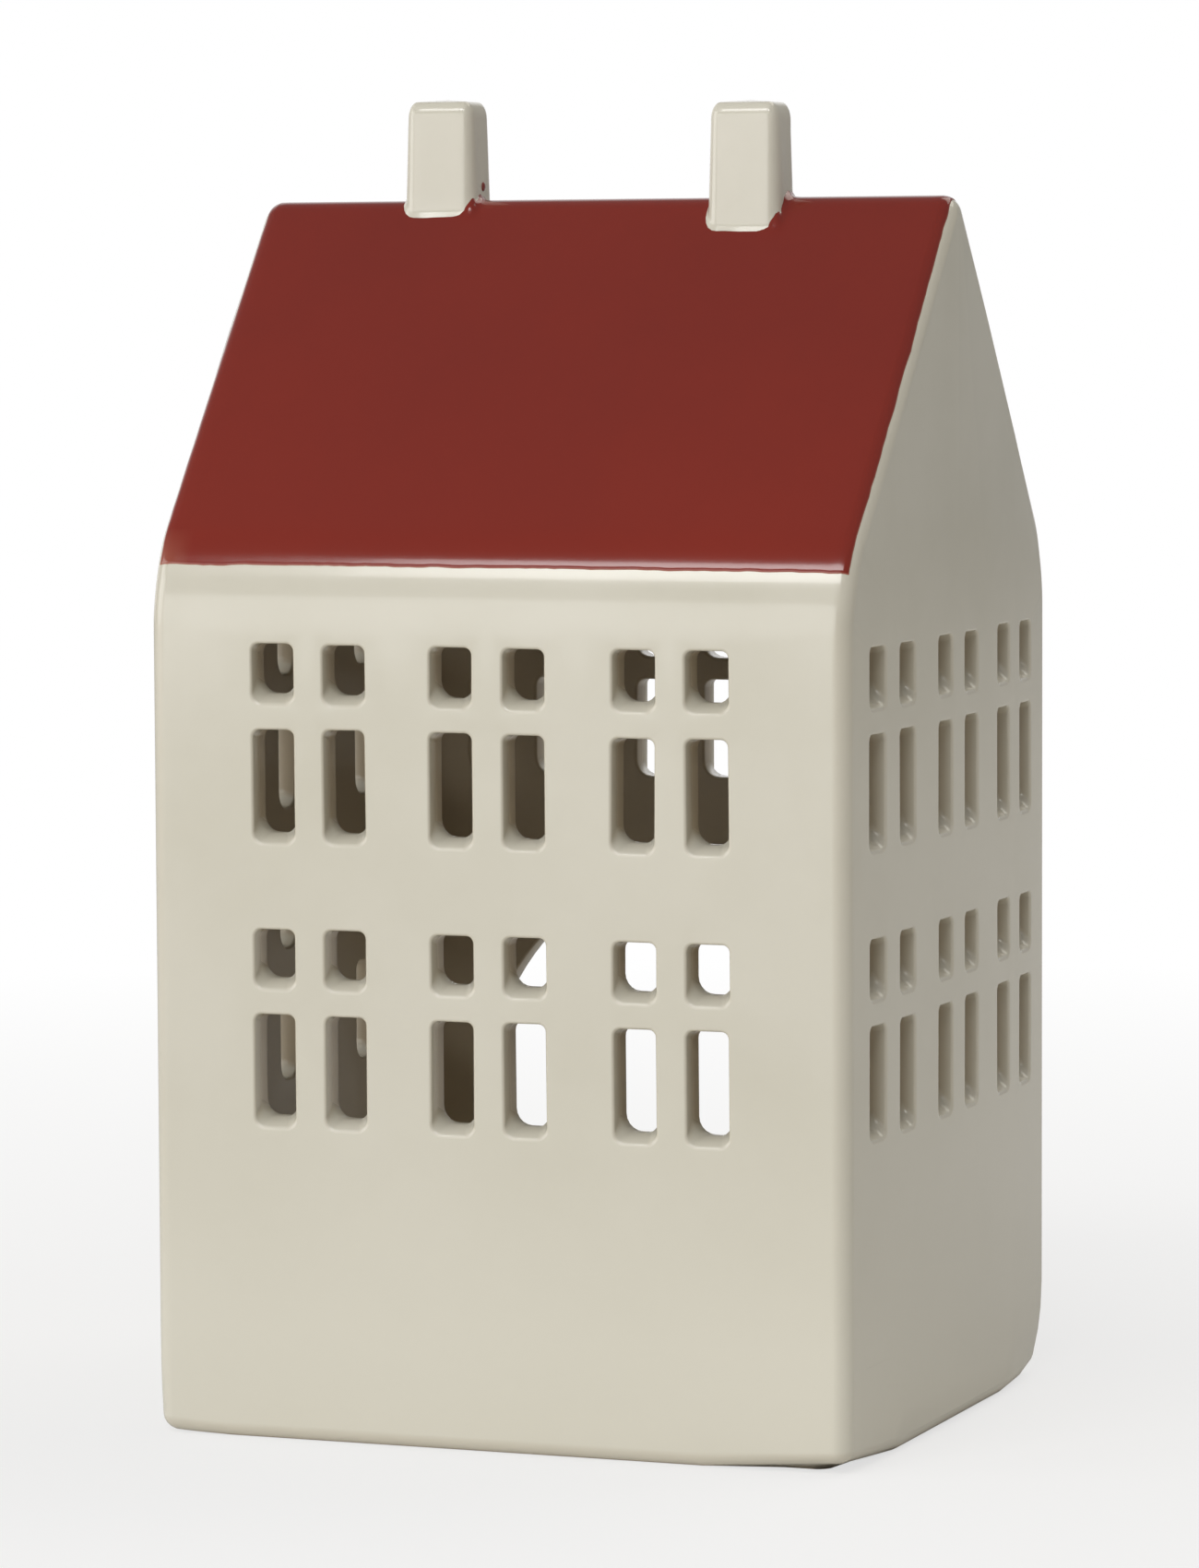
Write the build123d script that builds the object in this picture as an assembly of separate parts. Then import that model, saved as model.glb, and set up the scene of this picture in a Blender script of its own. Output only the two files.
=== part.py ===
from build123d import *
import math
import os

# Tealight house: a slip-cast, glazed ceramic town house with pierced windows. A tealight stands on
# its floor and goes in and out through an arched hatch in the rear wall.
# Millimetres. X runs along the front, Y towards the back and Z up. The origin is the middle of the
# foot, on the surface that the house stands on.

# Outer form of the house
house_width = 96.0  # from one gable to the other, at their corners
house_depth = 84.8
gable_bow = 1.2  # how far the middle of a gable stands out past its corners
eave_height = 113.6  # where wall and slope would meet with no rounding
ridge_height = 163.5  # where the two slopes would meet with no rounding
eave_radius = 20.0
ridge_radius = 3.0
corner_radius = 3.2  # upright corners and gable edges
foot_radius = 3.1

# Cast wall and floor
wall_thickness = 4.6
floor_thickness = 4.6
cavity_corner_radius = 2.0
cavity_ridge_radius = 2.5

# Windows: each bay has two columns, each storey a small pane over a tall one
pane_width = 5.6
small_pane_height = 6.45
tall_pane_height = 13.35
pane_corner_radius = 1.3
transom = 4.65  # between a tall pane and the small pane above it
lower_sill_height = 42.7
storey_pitch = 37.05
front_mullion = 4.4  # between the two columns of a bay
front_pier = 9.3  # between two bays
gable_mullion = 5.4
gable_pier = 9.4
bay_count = 3
front_shift = -0.65  # how far along X the hand set the front's windows off the middle
gable_shift = -0.25  # along Y, and how far up
gable_rise = 0.35
rear_shift = -2.5  # along X, and how far up, tall panes and small ones
rear_tall_rise = 2.15
rear_small_rise = 0.8
mouth_flare = 0.5  # how much wider a pane is, each way, at the wall's outer face
mouth_depth = 0.8

# Rear hatch
hatch_width = 68.0
hatch_spring_height = 35.0  # where the straight jambs end and the arch begins
hatch_edge_radius = 1.4

# Chimneys, each set by hand astride the ridge, so the two are not quite in line
chimney_width = 9.4
chimney_depth = 7.2
chimney_taper = 0.35  # how much wider a chimney is, each way, at the ridge than at its top
chimney_corner_radius = 1.5
chimney_top_radius = 1.9
chimney_skirt = 0.9  # slip that was brushed round the joint, each way
left_chimney_x = -23.2
left_chimney_y = 0.9
left_chimney_rise = 11.5  # above where the two slopes would meet
left_chimney_turn = -2.0  # degrees about Z
right_chimney_x = 20.7
right_chimney_y = -0.9
right_chimney_rise = 10.9
right_chimney_turn = -2.5

# Red roof glaze
glaze_thickness = 0.4
glaze_edge_rise = 0.8  # from the eave up to the lower edge of the red
glaze_margin = 0.7  # white strip left along each gable

# Tealight: a drawn aluminium cup with a rolled rim, filled with wax round a wick in a tin foot
cup_radius = 18.6  # just under the rim
cup_height = 15.5
cup_draft = 0.6  # how much narrower the cup is at its base
cup_foil = 0.3
cup_base_radius = 1.2
cup_bead_radius = 0.45
cup_clearance = 0.3  # between the cup and the uneven glaze of the floor
wax_height = 12.4
wax_dish = 0.5  # how far the wax sinks towards its middle
sustainer_radius = 7.0
sustainer_sheet = 0.4
sustainer_neck_radius = 1.6
sustainer_neck_height = 3.2
wick_radius = 0.75
wick_straight_length = 3.0  # above the wax
wick_bent_length = 3.6
wick_lean = 1.3  # how far the tip of the wick stands to one side
wick_bend_radius = 4.0

# Allowance that every cutting tool runs past the face it leaves
overrun = 3.0

# Worked out from the values above
slope_angle = math.atan2(ridge_height - eave_height, house_depth / 2)
gable_radius = ((house_depth / 2) ** 2 + gable_bow**2) / (2 * gable_bow)
gable_centre = house_width / 2 + gable_bow - gable_radius
chimney_root = chimney_depth * math.tan(slope_angle)  # reach below the ridge before it is fitted
chimney_places = {
    "left_chimney": (left_chimney_x, left_chimney_y, left_chimney_rise, left_chimney_turn),
    "right_chimney": (right_chimney_x, right_chimney_y, right_chimney_rise, right_chimney_turn),
}


def gable_x(y):
    """How far out the right gable's face lies at a place across the house."""
    return gable_centre + math.sqrt(gable_radius**2 - y**2)


def gable_profile(inset, foot, eave_round, ridge_round):
    """The house seen from its side, each wall and slope moved in by the inset."""
    half = house_depth / 2 - inset
    ridge = ridge_height - inset / math.cos(slope_angle)
    eave = ridge - half * math.tan(slope_angle)
    outline = Polyline((-half, foot), (half, foot), (half, eave), (0, ridge), (-half, eave), close=True)
    face = make_face(outline)
    eaves = [corner for corner in face.vertices() if abs(corner.Y - eave) < overrun / 2]
    face = fillet(eaves, eave_round)
    return fillet(face.vertices().sort_by(Axis.Y)[-1], ridge_round)


def gable_lens(inset, bottom, top):
    """A tall block between the two bowed gables, each moved in by the inset."""
    radius = gable_radius - inset
    lens = Pos(gable_centre, 0) * Circle(radius) & Pos(-gable_centre, 0) * Circle(radius)
    return Pos(0, 0, bottom) * extrude(lens, top - bottom)


def house_form(inset, foot, eave_round, ridge_round, corner_round):
    """A closed house shape: a gable profile run from one bowed gable to the other, corners rounded."""
    profile = Plane.YZ * gable_profile(inset, foot, eave_round, ridge_round)
    block = extrude(profile, house_width, both=True)
    block = block & gable_lens(inset, foot - overrun, ridge_height + overrun)
    for side in (0, -1):
        gable = block.faces().sort_by(Axis.X)[side]
        rim = [edge for edge in gable.edges() if edge.center().Z > foot + overrun / 2]
        block = fillet(rim, corner_round)
    return block


def outer_form():
    """The whole glazed outside, with its foot rounded off."""
    form = house_form(0, 0, eave_radius, ridge_radius, corner_radius)
    return fillet(form.faces().sort_by(Axis.Z)[0].edges(), foot_radius)


def cavity_form():
    """The hollow that the cast leaves, open at the foot."""
    eave_round = eave_radius - wall_thickness
    return house_form(wall_thickness, -overrun, eave_round, cavity_ridge_radius, cavity_corner_radius)


def pane_cutter(height):
    """The hole of one pane, cut inwards from the wall's face, its mouth flared by the glaze."""
    throat = RectangleRounded(pane_width, height, pane_corner_radius)
    mouth = RectangleRounded(
        pane_width + 2 * mouth_flare, height + 2 * mouth_flare, pane_corner_radius + mouth_flare
    )
    flare = loft([Pos(0, 0, -mouth_depth) * throat, mouth], ruled=True)
    lip = extrude(mouth, overrun)
    bore = Pos(0, 0, -mouth_depth) * extrude(throat, -(wall_thickness + overrun))
    return lip + flare + bore


def pane_columns(mullion, pier):
    """The middles of the columns of panes along one wall, from its middle."""
    bay = 2 * pane_width + mullion
    first = -(bay_count * bay + (bay_count - 1) * pier) / 2 + pane_width / 2
    return [
        first + number * (bay + pier) + column * (pane_width + mullion)
        for number in range(bay_count)
        for column in range(2)
    ]


def window_cutters():
    """Both storeys in the front and the gables, and the upper storey alone above the hatch."""
    small_pane = pane_cutter(small_pane_height)
    tall_pane = pane_cutter(tall_pane_height)
    cutters = []
    for storey in range(2):
        sill = lower_sill_height + storey * storey_pitch
        tall_middle = sill + tall_pane_height / 2
        small_middle = sill + tall_pane_height + transom + small_pane_height / 2
        for pane, height, rear_rise in (
            (tall_pane, tall_middle, rear_tall_rise), (small_pane, small_middle, rear_small_rise)
        ):
            for x in pane_columns(front_mullion, front_pier):
                at = (x + front_shift, -house_depth / 2, height)
                cutters.append(Plane(at, x_dir=(1, 0, 0), z_dir=(0, -1, 0)) * pane)
                if storey == 1:
                    at = (x + rear_shift, house_depth / 2, height + rear_rise)
                    cutters.append(Plane(at, x_dir=(-1, 0, 0), z_dir=(0, 1, 0)) * pane)
            for y in pane_columns(gable_mullion, gable_pier):
                y, up = y + gable_shift, height + gable_rise
                right = Plane((gable_x(y), y, up), x_dir=(0, 1, 0), z_dir=(1, 0, 0))
                left = Plane((-gable_x(y), y, up), x_dir=(0, -1, 0), z_dir=(-1, 0, 0))
                cutters.extend([right * pane, left * pane])
    return cutters


def hatch_cutter():
    """An arch with straight jambs down to the floor, run out through the rear wall."""
    half = hatch_width / 2
    outline = Polyline(
        (-half, hatch_spring_height), (-half, floor_thickness), (half, floor_thickness),
        (half, hatch_spring_height),
    )
    arch = outline + ThreePointArc(
        (half, hatch_spring_height), (0, hatch_spring_height + half), (-half, hatch_spring_height)
    )
    start = house_depth / 2 - wall_thickness - overrun
    face = Plane((0, start, 0), x_dir=(1, 0, 0), z_dir=(0, -1, 0)) * make_face(arch)
    return extrude(face, -(wall_thickness + 2 * overrun))


def house_shell(outer, cavity, coat):
    """The cast house: walls, gables and roof slopes in one, less the room that the red coat takes."""
    shell = outer - cavity - hatch_cutter()
    rear = shell.faces().filter_by(Axis.Y).sort_by(Axis.Y)[-1]
    shell = fillet(rear.inner_wires()[0].edges(), hatch_edge_radius)
    return shell - coat - window_cutters()


def floor_slab(cavity):
    """The plate that closes the foot of the casting."""
    space = Box(
        2 * house_width, 2 * house_depth, floor_thickness, align=(Align.CENTER, Align.CENTER, Align.MIN)
    )
    return cavity & space


def chimney_block(rise):
    """A tapered block with rounded corners and a rounded top, not yet fitted to the ridge."""
    spread = chimney_taper * (rise + chimney_root) / rise
    top = RectangleRounded(chimney_width, chimney_depth, chimney_corner_radius)
    root = RectangleRounded(
        chimney_width + 2 * spread, chimney_depth + 2 * spread, chimney_corner_radius + spread
    )
    block = loft([Pos(0, 0, -chimney_root) * root, Pos(0, 0, rise) * top], ruled=True)
    return fillet(block.faces().sort_by(Axis.Z)[-1].edges(), chimney_top_radius)


def chimney(x, y, rise, turn, outer):
    """A chimney seated astride the ridge, with the slip that fills the joint at its foot."""
    joined = outer + Pos(x, y, ridge_height) * Rot(0, 0, turn) * chimney_block(rise)
    joint = [
        edge
        for edge in joined.edges()
        if ridge_height - chimney_root < edge.center().Z < ridge_height
        and abs(edge.center().X - x) < chimney_width
        and edge.length < 2 * chimney_width
    ]
    return chamfer(joint, chimney_skirt) - outer


def roof_glaze(outer):
    """The coat of red glaze over both slopes and the ridge, with a gap round each chimney."""
    under = house_form(
        glaze_thickness, 0, eave_radius - glaze_thickness, ridge_radius - glaze_thickness,
        corner_radius - glaze_thickness,
    )
    coat = (outer - under) & gable_lens(glaze_margin, eave_height + glaze_edge_rise, ridge_height)
    gap = RectangleRounded(
        chimney_width + 2 * chimney_skirt, chimney_depth + 2 * chimney_skirt, chimney_corner_radius
    )
    for x, y, _, turn in chimney_places.values():
        coat = coat - Pos(x, y, eave_height) * Rot(0, 0, turn) * extrude(gap, ridge_height - eave_height)
    return coat


def cup_section(inset, height):
    """Half of the cup's section up to a height, from its middle out, moved in by the inset."""
    base = cup_radius - cup_draft * (1 - inset / cup_height) - inset
    top = cup_radius - cup_draft * (1 - height / cup_height) - inset
    half = make_face(Polyline((0, inset), (base, inset), (top, height), (0, height), close=True))
    corner = half.vertices().group_by(Axis.Y)[0].sort_by(Axis.X)[-1]
    return fillet(corner, cup_base_radius - inset)


def cup():
    """The cup with its rim rolled outwards into a bead."""
    sheet = cup_section(0, cup_height) - cup_section(cup_foil, cup_height)
    bead_middle = cup_radius - cup_foil + cup_bead_radius
    bead = Pos(bead_middle, cup_height - cup_bead_radius) * Circle(cup_bead_radius)
    return revolve(Plane.XZ * (sheet + bead), Axis.Z)


def wick():
    """The waxed cotton wick, upright in its tin foot and leaning over at the tip."""
    bend = wax_height + wick_straight_length
    path = FilletPolyline(
        (0, 0, cup_foil), (0, 0, bend), (wick_lean, 0, bend + wick_bent_length), radius=wick_bend_radius
    )
    return sweep(Pos(0, 0, cup_foil) * Circle(wick_radius), path)


def sustainer():
    """A tin disc on the floor of the cup, with a neck that is crimped round the wick."""
    disc = extrude(Circle(sustainer_radius), sustainer_sheet)
    neck = extrude(Circle(sustainer_neck_radius), sustainer_neck_height)
    return Pos(0, 0, cup_foil) * (disc + neck) - wick()


def wax():
    """The wax, poured round the wick and its foot, its top sunk a little towards the middle."""
    fill = revolve(Plane.XZ * cup_section(cup_foil, wax_height), Axis.Z)
    dish_radius = (cup_radius**2 + wax_dish**2) / (2 * wax_dish)
    dish = Pos(0, 0, wax_height - wax_dish + dish_radius) * Sphere(dish_radius)
    return fill - dish - sustainer() - wick()


outer = outer_form()
cavity = cavity_form()
coat = roof_glaze(outer)
seat = Pos(0, 0, floor_thickness + cup_clearance)

nodes = {
    "house_shell": house_shell(outer, cavity, coat),
    "floor_slab": floor_slab(cavity),
    "roof_glaze": coat,
    "tealight_cup": seat * cup(),
    "tealight_wax": seat * wax(),
    "wick_sustainer": seat * sustainer(),
    "wick": seat * wick(),
}
for name, place in chimney_places.items():
    nodes[name] = chimney(*place, outer)

os.makedirs("parts", exist_ok=True)
for name, solid in nodes.items():
    export_step(solid, f"parts/{name}.step")
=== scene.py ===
import math
import random

import bmesh
import bpy
from mathutils import Matrix, Vector, noise
from mathutils.bvhtree import BVHTree


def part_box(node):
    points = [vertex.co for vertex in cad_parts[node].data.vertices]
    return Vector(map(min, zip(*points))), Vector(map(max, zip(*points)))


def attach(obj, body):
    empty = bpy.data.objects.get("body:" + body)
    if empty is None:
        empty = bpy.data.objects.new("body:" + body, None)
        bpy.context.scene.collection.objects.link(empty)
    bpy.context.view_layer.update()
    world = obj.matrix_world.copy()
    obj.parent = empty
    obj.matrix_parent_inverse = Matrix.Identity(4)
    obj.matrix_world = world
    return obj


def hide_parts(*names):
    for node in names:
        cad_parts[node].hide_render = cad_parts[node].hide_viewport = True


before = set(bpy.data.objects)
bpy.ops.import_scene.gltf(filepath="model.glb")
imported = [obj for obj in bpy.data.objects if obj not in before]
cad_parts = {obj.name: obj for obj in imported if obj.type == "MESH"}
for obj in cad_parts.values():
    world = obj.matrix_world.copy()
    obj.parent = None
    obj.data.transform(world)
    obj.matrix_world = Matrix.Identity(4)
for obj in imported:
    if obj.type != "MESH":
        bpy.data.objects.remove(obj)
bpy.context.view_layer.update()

# A tealight house of glazed earthenware. Metres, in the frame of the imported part: X runs along the
# front, Y towards the back, Z up, and the foot stands at zero.

# House shell: walls, gables and roof slopes, slip-cast in one from white earthenware. The panes
# and the rear hatch were cut through the leather-hard clay, and the arrises sponged round before
# an off-white glaze ran over everything but the foot, which stood on the kiln shelf.
mm = 0.001
hair = 0.01 * mm  # nearer than this, two places are one

house_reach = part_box("house_shell")[1]
gable_bow = 1.2 * mm  # how far the middle of a gable stands out past its corners
half_width = house_reach.x - gable_bow
half_depth = house_reach.y
eave_height = 113.6 * mm  # where wall and slope would meet with no rounding
ridge_height = 163.5 * mm  # where the slopes would meet with no rounding
slope = math.atan2(ridge_height - eave_height, half_depth)
eave_radius = 20 * mm
ridge_radius = 3 * mm
sag_height = 150 * mm  # the ridge sagged in the kiln, above here, towards its ends
left_sag, left_sag_start = 1.5 * mm, -41 * mm
right_sag, right_sag_start = 0.5 * mm, 25 * mm
corner_radius = 2.2 * mm
foot_radius = 2.1 * mm
eave_steps, ridge_steps, corner_steps, foot_steps = 12, 10, 6, 5
tuck, tuck_height = 0.3 * mm, 13 * mm  # how far the walls draw in towards the foot, and below what
tuck_cut_shares = (0.45, 0.7, 1.0)  # rows cut across the tuck, so that it can bend
corner_cuts, front_cut = (5 * mm, 10 * mm), 20 * mm  # and columns, from each corner
foot_corners = [
    # its side in X and in Y, how far the corner shrank upwards and inwards, and how far that reaches
    (-1, -1, 0.5 * mm, 0.0, 8 * mm),
    (1, -1, 1.6 * mm, 0.0, 20 * mm),
    (1, 1, 1.0 * mm, 1.3 * mm, 14 * mm),
    (-1, 1, 0.8 * mm, 0.6 * mm, 12 * mm),
]
wall_thickness = 4.6 * mm
inner_ridge_radius = 2.5 * mm
inner_corner_radius = 2 * mm

pane_width = 5.6 * mm
tall_pane, small_pane = 13.35 * mm, 6.45 * mm
pane_corner, sill_corner = 1.3 * mm, 2.2 * mm
sill_fall = 0.22 * mm  # how far below the drawn pane the knife left its sill
mouth_growth, mouth_drop = 0.15 * mm, 1.2 * mm  # how much wider and lower it opens on the outside
mouth_depth = 1.7 * mm  # how far in the mouth reaches
mouth_reach = 1.5 * mouth_drop  # all of a mouth lies within this of its pane's drawn edges
mouth_corner, mouth_sill_corner = 0.9 * mm, 1.2 * mm
pane_corner_steps = 5
transom = 4.65 * mm
lower_sill = 42.7 * mm
storey_pitch = 37.05 * mm
front_mullion, front_pier = 4.4 * mm, 9.3 * mm
gable_mullion, gable_pier = 5.4 * mm, 9.4 * mm
bay_count = 3
front_shift, gable_shift, rear_shift = -0.65 * mm, -0.25 * mm, -2.5 * mm  # off the walls' middles
gable_rise, rear_tall_rise, rear_small_rise = 0.35 * mm, 2.15 * mm, 0.8 * mm
row_margin = 4 * mm  # plain wall kept whole above and below the rows of panes
pane_arris, pane_arris_steps = 0.38 * mm, 4
inner_arris, inner_arris_steps = 0.45 * mm, 3
sharp_turn = math.pi / 5  # an edge that turns by more is an arris
sill_gain = 1.6  # how soon the lining's painted shade and the thin-glaze tint clear as a surface turns to face up

hatch_half = 34 * mm
hatch_spring = 35 * mm
hatch_sill = 4.6 * mm
hatch_arris, hatch_arris_steps = 1.4 * mm, 5
hatch_steps = 48

hand = random.Random(7)  # the small unevenness of panes cut by hand
hand_shift, hand_turn, hand_size = 0.09 * mm, math.radians(0.5), 0.1 * mm


def clamp(value, low=0.0, high=1.0):
    """A value held between two others."""
    return max(low, min(high, value))


def gable_reach(y):
    """How far out a gable's face lies at a place across the house."""
    radius = (half_depth**2 + gable_bow**2) / (2 * gable_bow)
    return half_width + gable_bow - radius + math.sqrt(radius**2 - y**2)


def ridge_sag(at):
    """How far the roof has sunk at a place near the ridge's ends."""
    left = max(0.0, (at.x - left_sag_start) / (-half_width - left_sag_start))
    right = max(0.0, (at.x - right_sag_start) / (half_width - right_sag_start))
    high = max(0.0, (at.z - sag_height) / (ridge_height - sag_height))
    return (left_sag * left**2 + right_sag * right**1.5) * high**2


def round_edges(bm, edges, radius, turn, steps):
    """Rounds edges at which the surface turns through an angle, and marks the thin glaze on them."""
    made = bmesh.ops.bevel(
        bm, geom=edges, offset=radius * math.tan(turn / 2), offset_type="OFFSET", segments=steps,
        profile=0.5, affect="EDGES", material=-1, loop_slide=False,
    )
    thin = bm.verts.layers.float.get("thin_glaze")
    rounded = set(made["faces"])
    for vert in made["verts"]:
        if all(face in rounded for face in vert.link_faces):
            vert[thin] = 1.0


def edges_on(bm, test):
    """The edges whose two ends both pass a test of their place."""
    return [edge for edge in bm.edges if all(test(vert.co) for vert in edge.verts)]


def house_skin(inset, eave_round, ridge_round, corner_round):
    """A closed house with every face moved in by the inset: a gable run along to the other gable."""
    depth, width = half_depth - inset, half_width - inset
    ridge = ridge_height - inset / math.cos(slope)
    eave = ridge - depth * math.tan(slope)
    bm = bmesh.new()
    bm.verts.layers.float.new("thin_glaze")
    outline = [(-depth, 0), (depth, 0), (depth, eave), (0, ridge), (-depth, eave)]
    gable = bm.faces.new([bm.verts.new((-width, y, z)) for y, z in outline])
    run = bmesh.ops.extrude_face_region(bm, geom=[gable])["geom"]
    far = [item for item in run if isinstance(item, bmesh.types.BMVert)]
    bmesh.ops.translate(bm, verts=far, vec=(2 * width, 0, 0))
    bmesh.ops.recalc_face_normals(bm, faces=bm.faces)
    folds = (
        (eave, eave_round, math.pi / 2 - slope, eave_steps),
        (ridge, ridge_round, 2 * slope, ridge_steps),
    )
    for height, *rounding in folds:
        round_edges(bm, edges_on(bm, lambda at: abs(at.z - height) < hair), *rounding)
    for side in (-width, width):
        rim = edges_on(bm, lambda at: abs(at.x - side) < hair)
        rim = [edge for edge in rim if max(vert.co.z for vert in edge.verts) > hair]
        round_edges(bm, rim, corner_round, math.pi / 2, corner_steps)
    return bm


def wall_place(turn, distance):
    """The plane of a wall: its own X to the right as seen from outside, Y up and Z outwards."""
    return (
        Matrix.Rotation(turn, 4, "Z") @ Matrix.Translation((0, -distance, 0))
        @ Matrix.Rotation(math.pi / 2, 4, "X")
    )


def pane_columns(mullion, pier, shift):
    """The middles of the columns of panes along one wall, from its middle."""
    bay = 2 * pane_width + mullion
    first = shift - (bay_count * bay + (bay_count - 1) * pier) / 2 + pane_width / 2
    return [first + n * (bay + pier) + c * (pane_width + mullion) for n in range(bay_count) for c in (0, 1)]


def pane_rows(storeys, tall_rise=0.0, small_rise=0.0):
    """The middle and the height of each row of panes, from the lowest."""
    rows = []
    for storey in storeys:
        sill = lower_sill + storey * storey_pitch
        rows.append((sill + tall_rise + tall_pane / 2, tall_pane))
        rows.append((sill + small_rise + tall_pane + transom + small_pane / 2, small_pane))
    return rows


def panes_of(columns, rows):
    """Every pane of a wall as its place in the wall's plane, its width and its height."""
    panes = []
    for height, tall in rows:
        for across in columns:
            shift = [hand.uniform(-hand_shift, hand_shift) for _ in range(2)]
            turned = Matrix.Rotation(hand.uniform(-hand_turn, hand_turn), 4, "Z")
            at = Matrix.Translation((across + shift[0], height + shift[1] - sill_fall / 2, 0)) @ turned
            size = [side + hand.uniform(-hand_size, hand_size) for side in (pane_width, tall + sill_fall)]
            panes.append((at, *size))
    return panes


def outline_of(bm, face):
    """Takes a face away and leaves its edges."""
    edges = list(face.edges)
    bmesh.ops.delete(bm, geom=[face], context="FACES_ONLY")
    return edges


def pane_outline(bm, place, width, height, top_corner, low_corner):
    """A rectangle with rounded corners, rounder at the sill, as a loop of edges."""
    before = set(bm.faces)
    corners = bmesh.ops.create_grid(
        bm, x_segments=1, y_segments=1, size=0.5, matrix=place @ Matrix.Diagonal((width, height, 1, 1))
    )["verts"]
    corners.sort(key=lambda vert: vert.co.z)
    for pair, radius in ((corners[:2], low_corner), (corners[2:], top_corner)):
        bmesh.ops.bevel(
            bm, geom=pair, offset=radius, offset_type="OFFSET", segments=pane_corner_steps,
            profile=0.5, affect="VERTICES", material=-1,
        )
    return outline_of(bm, next(face for face in bm.faces if face not in before))


def hatch_outline(bm, place):
    """The hatch's arch and straight jambs, as a loop of edges."""
    before = set(bm.edges)
    spring = bm.verts.new(place @ Vector((hatch_half, hatch_spring, 0)))
    middle = place @ Vector((0, hatch_spring, 0))
    outwards = place.to_3x3() @ Vector((0, 0, 1))
    arch = bmesh.ops.spin(bm, geom=[spring], cent=middle, axis=outwards, angle=math.pi, steps=hatch_steps)
    end = next(item for item in arch["geom_last"] if isinstance(item, bmesh.types.BMVert))
    feet = [bm.verts.new(place @ Vector((side * hatch_half, hatch_sill, 0))) for side in (-1, 1)]
    for pair in ((end, feet[0]), feet, (feet[1], spring)):
        bm.edges.new(pair)
    return [edge for edge in bm.edges if edge not in before]


def wall_cells(bm, place):
    """The faces that lie in a wall's plane."""
    back = place.inverted()
    return [face for face in bm.faces if all(abs((back @ vert.co).z) < hair for vert in face.verts)]


def cut_faces(bm, cells, place, along):
    """Cuts faces along a plane, and gives what lies in the cut."""
    geom = set(cells)
    for face in cells:
        geom.update(face.edges, face.verts)
    return bmesh.ops.bisect_plane(
        bm, geom=list(geom), dist=hair / 10, plane_co=place, plane_no=along
    )["geom_cut"]


def cut_wall(bm, place, line, along, above=0.0):
    """Cuts a wall's faces that lie above a height along a line through its own X or Y."""
    back = place.inverted()
    cells = [face for face in wall_cells(bm, place) if (back @ face.calc_center_median()).y > above]
    cut_faces(bm, cells, place @ Vector(line), place.to_3x3() @ Vector(along))


def pierce(bm, place, outline, middle):
    """Opens the cell of a wall that holds a place, leaving wall only outside the outline."""
    back = place.inverted()

    def holds(face):
        corners = [back @ vert.co for vert in face.verts]
        return all(
            min(c[axis] for c in corners) < middle[axis] < max(c[axis] for c in corners) for axis in (0, 1)
        )

    rim = outline_of(bm, next(face for face in wall_cells(bm, place) if holds(face)))
    bmesh.ops.triangle_fill(
        bm, use_beauty=True, use_dissolve=False, edges=rim + outline,
        normal=place.to_3x3() @ Vector((0, 0, 1)),
    )


front_columns = pane_columns(front_mullion, front_pier, front_shift)
rear_columns = pane_columns(front_mullion, front_pier, -rear_shift)
right_columns = pane_columns(gable_mullion, gable_pier, gable_shift)
left_columns = pane_columns(gable_mullion, gable_pier, -gable_shift)
gable_rows = pane_rows((0, 1), gable_rise, gable_rise)
walls = [
    # turn about Z, distance of the wall's face, its columns of panes, its rows of panes
    (0.0, half_depth, front_columns, pane_rows((0, 1))),
    (math.pi / 2, half_width, right_columns, gable_rows),
    (math.pi, half_depth, rear_columns, pane_rows((1,), rear_tall_rise, rear_small_rise)),
    (-math.pi / 2, half_width, left_columns, gable_rows),
]
rear_wall = 2
wall_panes = [panes_of(columns, rows) for _, _, columns, rows in walls]


def slice_skin(bm, place, along, below=1.0, ahead=1.0):
    """Cuts along a plane all the faces that lie below a height and ahead of a place in Y."""
    cells = [face for face in bm.faces if all(vert.co.z < below and vert.co.y < ahead for vert in face.verts)]
    cut_faces(bm, cells, place, along)


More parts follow.
